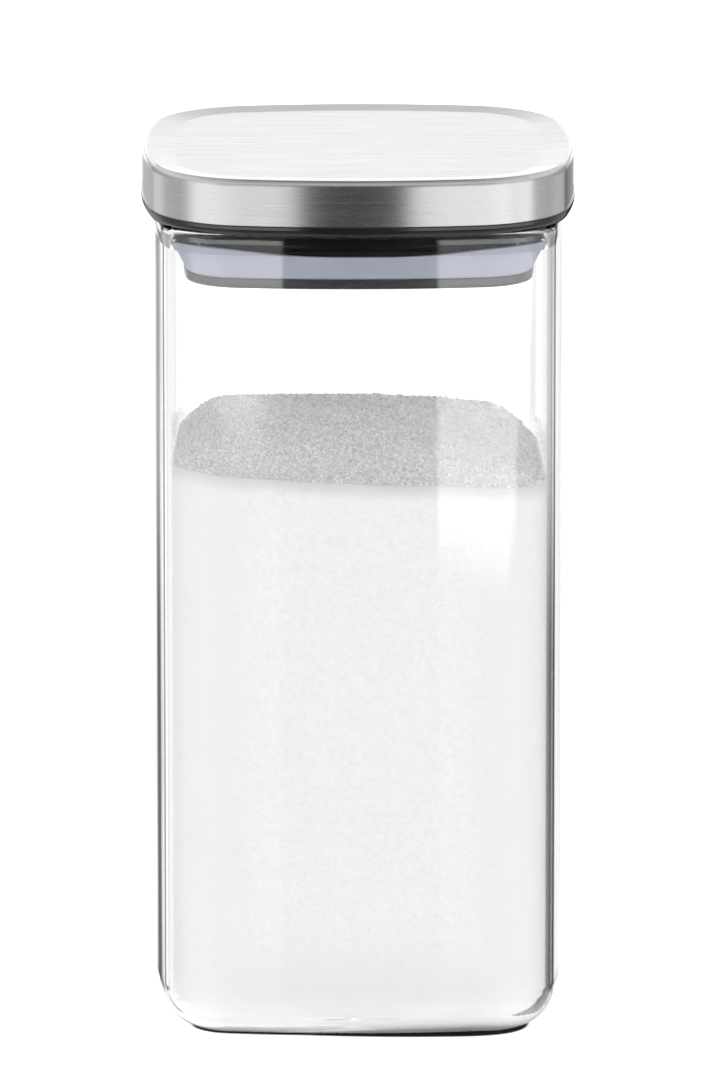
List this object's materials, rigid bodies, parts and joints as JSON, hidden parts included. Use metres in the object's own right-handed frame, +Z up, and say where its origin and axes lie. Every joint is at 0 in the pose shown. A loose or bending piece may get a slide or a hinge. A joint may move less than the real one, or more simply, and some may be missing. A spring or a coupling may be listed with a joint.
{
  "type": "storage jar",
  "caption": "Tall square clear-glass storage jar with a lift-off brushed-steel lid, black plug and flared translucent sealing ring.",
  "frame": {"origin": "centre of the jar's footprint, on the plane of the ring that it stands on", "axes": "+Z up along the jar, out through the lid; the side seen in the picture faces -Y; +X to the right of that side"},
  "size_m": [0.106, 0.106, 0.214],
  "materials": {
    "clear_glass": "polished",
    "brushed_steel": "satin",
    "black_plastic": "gloss",
    "silicone": "satin"
  },
  "bodies": {
    "jar": {"glass_body": "clear_glass"},
    "lid": {"steel_cover": "brushed_steel", "lid_carrier": "black_plastic", "plug_base": "black_plastic", "silicone_seal": "silicone"}
  },
  "joints": [
    {"name": "lid_lift", "type": "slide", "parent": "jar", "child": "lid", "axis": [0, 0, 1], "range_m": [0, 0.06]}
  ]
}
